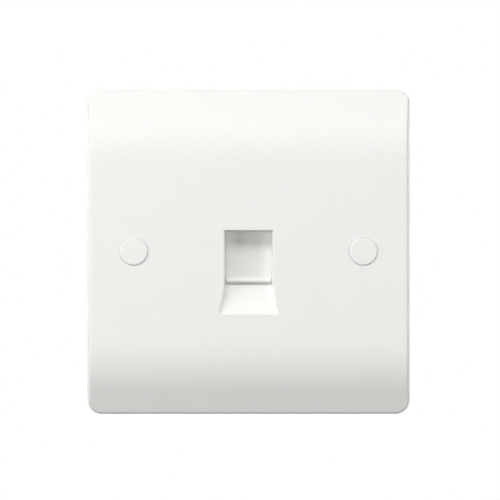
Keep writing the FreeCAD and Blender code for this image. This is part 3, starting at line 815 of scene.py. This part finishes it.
def camera():
    """The view of the photo."""
    data = bpy.data.cameras.new("camera")
    data.lens = CAMERA_LENS
    data.sensor_width = CAMERA_SENSOR
    thing = bpy.data.objects.new("camera", data)
    bpy.context.scene.collection.objects.link(thing)
    thing.location = CAMERA_PLACE
    aim(thing, CAMERA_PLACE + Vector((0, 1, 0)))
    bpy.context.scene.camera = thing


def softbox(name, elevation, side, width, height, power):
    """A soft lamp that faces the origin."""
    data = bpy.data.lights.new(name, "AREA")
    data.shape = "RECTANGLE"
    data.size = width
    data.size_y = height
    data.energy = power
    thing = bpy.data.objects.new(name, data)
    bpy.context.scene.collection.objects.link(thing)
    up = radians(elevation)
    across = radians(side)
    way = Vector((sin(across) * cos(up), -cos(across) * cos(up), sin(up)))
    thing.location = LAMP_DISTANCE * way
    aim(thing, Vector((0, 0, 0)))


def seen_rays(tree):
    """1 for rays from the camera, and for those that a gloss or a clear surface sends on."""
    path = add(tree, "ShaderNodeLightPath")
    shiny = add(
        tree,
        "ShaderNodeMath",
        {0: path.outputs["Is Glossy Ray"], 1: path.outputs["Is Transmission Ray"]},
        operation="MAXIMUM",
    )
    return add(
        tree,
        "ShaderNodeMath",
        {0: path.outputs["Is Camera Ray"], 1: shiny.outputs[0]},
        operation="MAXIMUM",
    ).outputs[0]


def world():
    """White where it is seen, and a plain soft light on the object."""
    room = bpy.data.worlds.new("studio")
    room.use_nodes = True
    tree = room.node_tree
    tree.nodes.clear()
    ambient = add(tree, "ShaderNodeBackground", {"Color": linear(WHITE), "Strength": AMBIENT})
    white = add(tree, "ShaderNodeBackground", {"Color": linear(WHITE), "Strength": 1.0})
    mixed = add(
        tree,
        "ShaderNodeMixShader",
        {0: seen_rays(tree), 1: ambient.outputs[0], 2: white.outputs[0]},
    )
    add(tree, "ShaderNodeOutputWorld", {"Surface": mixed.outputs[0]})
    bpy.context.scene.world = room


def floor_finish():
    """Pale matt board that takes the shadow near the object, and goes over to the white behind."""
    material, tree = new_material("studio_floor")
    place = add(tree, "ShaderNodeTexCoord").outputs["Object"]
    away = add(tree, "ShaderNodeVectorMath", {0: place}, operation="LENGTH")
    far = add(
        tree,
        "ShaderNodeMapRange",
        {
            "Value": away.outputs["Value"],
            "From Min": FLOOR_NEAR,
            "From Max": FLOOR_FAR,
            "To Min": FLOOR_GLOW,
        },
        interpolation_type="SMOOTHSTEP",
    )
    shown = add(
        tree,
        "ShaderNodeMath",
        {0: far.outputs["Result"], 1: seen_rays(tree)},
        operation="MULTIPLY",
    )
    board = add(tree, "ShaderNodeBsdfDiffuse", {"Color": linear(FLOOR_TONE)})
    white = add(tree, "ShaderNodeEmission", {"Color": linear(WHITE), "Strength": 1.0})
    mixed = add(
        tree,
        "ShaderNodeMixShader",
        {0: shown.outputs[0], 1: board.outputs[0], 2: white.outputs[0]},
    )
    finish_material(tree, mixed)
    return material


def floor():
    """A wide flat disc. It throws no light back up, so that the lamps alone shade the face."""
    ring = [2 * pi * side / FLOOR_SIDES for side in range(FLOOR_SIDES)]
    verts = [(FLOOR_RADIUS * cos(a), FLOOR_RADIUS * sin(a), 0) for a in ring]
    piece = new_piece("floor", verts, [tuple(range(FLOOR_SIDES))], floor_finish(), flat=True)
    piece.location.z = -FLOOR_DROP
    piece.visible_diffuse = False


def dress(nodes, finish, names):
    """Gives the named solids their material."""
    for name in names:
        nodes[name].data.materials.clear()
        nodes[name].data.materials.append(finish)


def main():
    """Dresses the solids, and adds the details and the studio."""
    for leftover in list(bpy.data.objects):
        bpy.data.objects.remove(leftover)
    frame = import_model()
    nodes = frame["nodes"]
    dress(nodes, white_urea(), ["faceplate", "screw_cap_left", "screw_cap_right", "shutter"])
    dress(nodes, carrier_polycarbonate(), ["jack_carrier"])
    dress(nodes, jack_polyester(), ["jack_housing", "contact_insert"])
    dress(nodes, terminal_polycarbonate(), ["idc_block_left", "idc_block_right"])
    dress(nodes, board_laminate(), ["circuit_board"])
    dress(nodes, gold_plate(), [name for name in nodes if name.startswith("jack_contact_")])
    dress(nodes, tin_plate(), [name for name in nodes if name.startswith("idc_terminal_")])
    zinc = zinc_plate()
    dress(nodes, zinc, ["carrier_screws", "fixing_screws"])
    wire = spring_wire()
    dress(nodes, wire, ["shutter_spring"])
    fixing_screws(zinc)
    return_spring(wire)
    solder_joints(solder())
    board_tracks(covered_copper())
    camera()
    softbox("key", KEY_ELEVATION, KEY_SIDE, KEY_WIDTH, KEY_HEIGHT, KEY_POWER)
    softbox("left", 0, -FLANK_SIDE, FLANK_WIDTH, FLANK_HEIGHT, LEFT_POWER)
    softbox("right", 0, FLANK_SIDE, FLANK_WIDTH, FLANK_HEIGHT, RIGHT_POWER)
    softbox("back", BACK_ELEVATION, 180, BACK_SIZE, BACK_SIZE, BACK_POWER)
    world()
    floor()
    bpy.context.scene.view_settings.view_transform = "Standard"


main()
